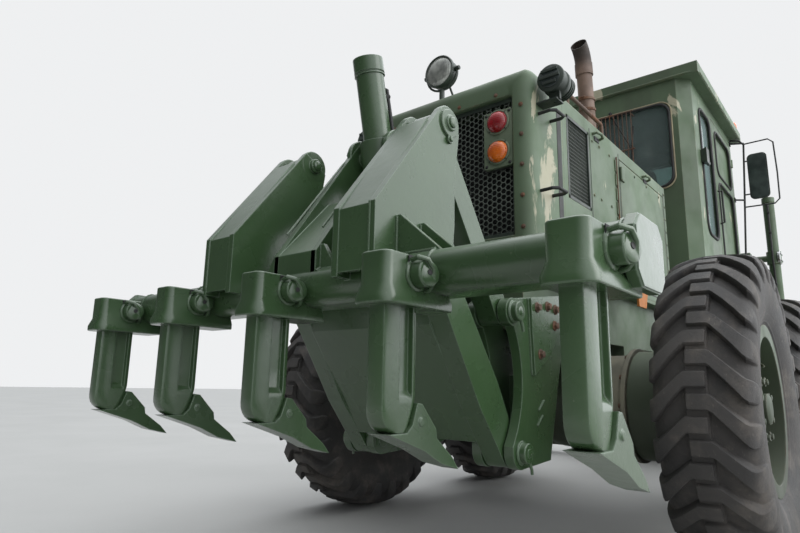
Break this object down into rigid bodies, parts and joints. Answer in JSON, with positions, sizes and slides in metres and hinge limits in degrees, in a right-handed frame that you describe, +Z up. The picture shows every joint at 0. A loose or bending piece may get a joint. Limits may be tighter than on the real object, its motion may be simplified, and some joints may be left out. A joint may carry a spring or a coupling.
{
  "type": "motor grader",
  "caption": "Articulated six-wheel motor grader with enclosed cab, turning blade under a gooseneck frame and a five-shank rear ripper on parallel links.",
  "frame": {"origin": "on the ground under the middle of the machine's length and width", "axes": "+X forward, +Y left, +Z up"},
  "size_m": [8.2759, 3.6, 3.3103],
  "materials": {
    "old_paint": "faded, worn and patchy matt",
    "fresh_paint": "fresh semi-gloss",
    "tyre": "worn rubber",
    "black_steel": "matt black",
    "rusty_steel": "rusty",
    "rod_chrome": "polished",
    "glass": "dusty clear",
    "seat": "black vinyl",
    "lamp": "red and amber lenses in black housings"
  },
  "bodies": {
    "rear_frame": {"rear_frame": "old_paint", "engine_block": "black_steel", "radiator": "black_steel", "hood": "old_paint", "rear_cap": "old_paint", "grilles": "black_steel", "exhaust": "rusty_steel", "rear_axle": "old_paint", "tandem_cases": "old_paint", "rear_lamps": "lamp", "ripper_mount": "fresh_paint"},
    "hood_door_left": {"hood_door_left": "old_paint"},
    "hood_door_right": {"hood_door_right": "old_paint"},
    "lower_link": {"ripper_lower_link": "fresh_paint"},
    "upper_links": {"ripper_upper_links": "fresh_paint"},
    "ripper": {"ripper_beam": "fresh_paint", "ripper_shanks": "fresh_paint"},
    "ripper_barrel": {"ripper_barrel": "fresh_paint"},
    "ripper_rod": {"ripper_rod": "rod_chrome"},
    "front_frame": {"front_frame": "old_paint", "cab_shell": "old_paint", "cab_roof": "old_paint", "cab_glass": "glass", "seat": "seat", "controls": "black_steel", "cab_fittings": "black_steel", "cab_steps": "old_paint", "lift_barrel_left": "old_paint", "lift_barrel_right": "old_paint", "front_axle": "old_paint"},
    "cab_door_left": {"cab_door_left": "old_paint"},
    "cab_door_right": {"cab_door_right": "old_paint"},
    "lift_rod_left": {"lift_rod_left": "rod_chrome"},
    "lift_rod_right": {"lift_rod_right": "rod_chrome"},
    "lean_yoke_left": {"lean_yoke_left": "old_paint"},
    "lean_yoke_right": {"lean_yoke_right": "old_paint"},
    "knuckle_left": {"knuckle_left": "old_paint"},
    "knuckle_right": {"knuckle_right": "old_paint"},
    "drawbar": {"drawbar": "old_paint"},
    "turning_circle": {"turning_circle": "old_paint"},
    "blade_carrier": {"blade_carrier": "old_paint"},
    "moldboard": {"moldboard": "old_paint"},
    "wheel_rear_left": {"tyre_rear_left": "tyre", "rim_rear_left": "old_paint"},
    "wheel_mid_left": {"tyre_mid_left": "tyre", "rim_mid_left": "old_paint"},
    "wheel_front_left": {"tyre_front_left": "tyre", "rim_front_left": "old_paint"},
    "wheel_rear_right": {"tyre_rear_right": "tyre", "rim_rear_right": "old_paint"},
    "wheel_mid_right": {"tyre_mid_right": "tyre", "rim_mid_right": "old_paint"},
    "wheel_front_right": {"tyre_front_right": "tyre", "rim_front_right": "old_paint"}
  },
  "joints": [
    {"name": "roll_rear_left", "type": "hinge", "parent": "rear_frame", "child": "wheel_rear_left", "pos_m": [-2.425, 1.04, 0.64201], "axis": [0, 1, 0], "continuous": true},
    {"name": "roll_mid_left", "type": "hinge", "parent": "rear_frame", "child": "wheel_mid_left", "pos_m": [-0.905, 1.04, 0.64201], "axis": [0, 1, 0], "continuous": true},
    {"name": "roll_front_left", "type": "hinge", "parent": "knuckle_left", "child": "wheel_front_left", "pos_m": [3.495, 1.04, 0.64201], "axis": [0, 1, 0], "continuous": true},
    {"name": "hood_door_left", "type": "hinge", "parent": "rear_frame", "child": "hood_door_left", "pos_m": [-1.953, 0.4783, 1.68], "axis": [0, 0, 1], "range_deg": [0, 110]},
    {"name": "cab_door_left", "type": "hinge", "parent": "front_frame", "child": "cab_door_left", "pos_m": [0.845, 0.61, 2.25], "axis": [0, 0, -1], "range_deg": [0, 90]},
    {"name": "lean_left", "type": "hinge", "parent": "front_frame", "child": "lean_yoke_left", "pos_m": [3.495, 0.64, 0.6], "axis": [1, 0, 0], "range_deg": [-18, 18]},
    {"name": "steer_left", "type": "hinge", "parent": "lean_yoke_left", "child": "knuckle_left", "pos_m": [3.495, 0.78, 0.64201], "axis": [0, 0, 1], "range_deg": [-50, 50]},
    {"name": "lift_rod_left", "type": "slide", "parent": "front_frame", "child": "lift_rod_left", "axis": [0, 0, -1], "range_m": [-0.25, 0.57]},
    {"name": "roll_rear_right", "type": "hinge", "parent": "rear_frame", "child": "wheel_rear_right", "pos_m": [-2.425, -1.04, 0.64201], "axis": [0, 1, 0], "continuous": true},
    {"name": "roll_mid_right", "type": "hinge", "parent": "rear_frame", "child": "wheel_mid_right", "pos_m": [-0.905, -1.04, 0.64201], "axis": [0, 1, 0], "continuous": true},
    {"name": "roll_front_right", "type": "hinge", "parent": "knuckle_right", "child": "wheel_front_right", "pos_m": [3.495, -1.04, 0.64201], "axis": [0, 1, 0], "continuous": true},
    {"name": "hood_door_right", "type": "hinge", "parent": "rear_frame", "child": "hood_door_right", "pos_m": [-1.953, -0.4783, 1.68], "axis": [0, 0, -1], "range_deg": [0, 110]},
    {"name": "cab_door_right", "type": "hinge", "parent": "front_frame", "child": "cab_door_right", "pos_m": [0.845, -0.61, 2.25], "axis": [0, 0, 1], "range_deg": [0, 90]},
    {"name": "lean_right", "type": "hinge", "parent": "front_frame", "child": "lean_yoke_right", "pos_m": [3.495, -0.64, 0.6], "axis": [1, 0, 0], "range_deg": [-18, 18]},
    {"name": "steer_right", "type": "hinge", "parent": "lean_yoke_right", "child": "knuckle_right", "pos_m": [3.495, -0.78, 0.64201], "axis": [0, 0, 1], "range_deg": [-50, 50]},
    {"name": "lift_rod_right", "type": "slide", "parent": "front_frame", "child": "lift_rod_right", "axis": [0, 0, -1], "range_m": [-0.25, 0.57]},
    {"name": "articulation", "type": "hinge", "parent": "rear_frame", "child": "front_frame", "pos_m": [-0.845, 0, 1.1], "axis": [0, 0, 1], "range_deg": [-20, 20]},
    {"name": "ripper_lift", "type": "hinge", "parent": "rear_frame", "child": "lower_link", "pos_m": [-3.165, 0, 0.465], "axis": [0, 1, 0], "range_deg": [-75, 0]},
    {"name": "ripper_level", "type": "hinge", "parent": "lower_link", "child": "ripper", "pos_m": [-3.605, 0, 1.09], "axis": [0, 1, 0], "range_deg": [-1, 76]},
    {"name": "ripper_upper", "type": "hinge", "parent": "rear_frame", "child": "upper_links", "pos_m": [-3.21, 0, 1], "axis": [0, 1, 0], "range_deg": [-76, 1]},
    {"name": "ripper_trunnion", "type": "hinge", "parent": "ripper", "child": "ripper_barrel", "pos_m": [-3.525, 0, 1.65], "axis": [0, 1, 0], "range_deg": [-53, 1]},
    {"name": "ripper_rod", "type": "slide", "parent": "ripper_barrel", "child": "ripper_rod", "axis": [0.2242, 0, -0.9745], "range_m": [-0.6, 0.01]},
    {"name": "drawbar_lift", "type": "hinge", "parent": "front_frame", "child": "drawbar", "pos_m": [3.135, 0, 0.8], "axis": [0, -1, 0], "range_deg": [-7, 17]},
    {"name": "circle_turn", "type": "hinge", "parent": "drawbar", "child": "turning_circle", "pos_m": [1.295, 0, 0.83], "axis": [0, 0, 1], "continuous": true},
    {"name": "blade_tip", "type": "hinge", "parent": "turning_circle", "child": "blade_carrier", "pos_m": [1.115, 0, 0.33], "axis": [0, 1, 0], "range_deg": [-5, 40]},
    {"name": "blade_shift", "type": "slide", "parent": "blade_carrier", "child": "moldboard", "axis": [0, 1, 0], "range_m": [-0.51, 0.66]}
  ],
  "couplings": [
    {"joint": "ripper_level", "follows": "ripper_lift", "ratio": -1},
    {"joint": "ripper_upper", "follows": "ripper_lift", "ratio": 1},
    {"joint": "ripper_trunnion", "follows": "ripper_lift", "ratio": 0.704},
    {"joint": "ripper_rod", "follows": "ripper_lift", "m_per_rad": 0.4355},
    {"joint": "lean_right", "follows": "lean_left", "ratio": 1},
    {"joint": "steer_right", "follows": "steer_left", "ratio": 1},
    {"joint": "lift_rod_left", "follows": "drawbar_lift", "m_per_rad": 1.83},
    {"joint": "lift_rod_right", "follows": "drawbar_lift", "m_per_rad": 1.83}
  ]
}
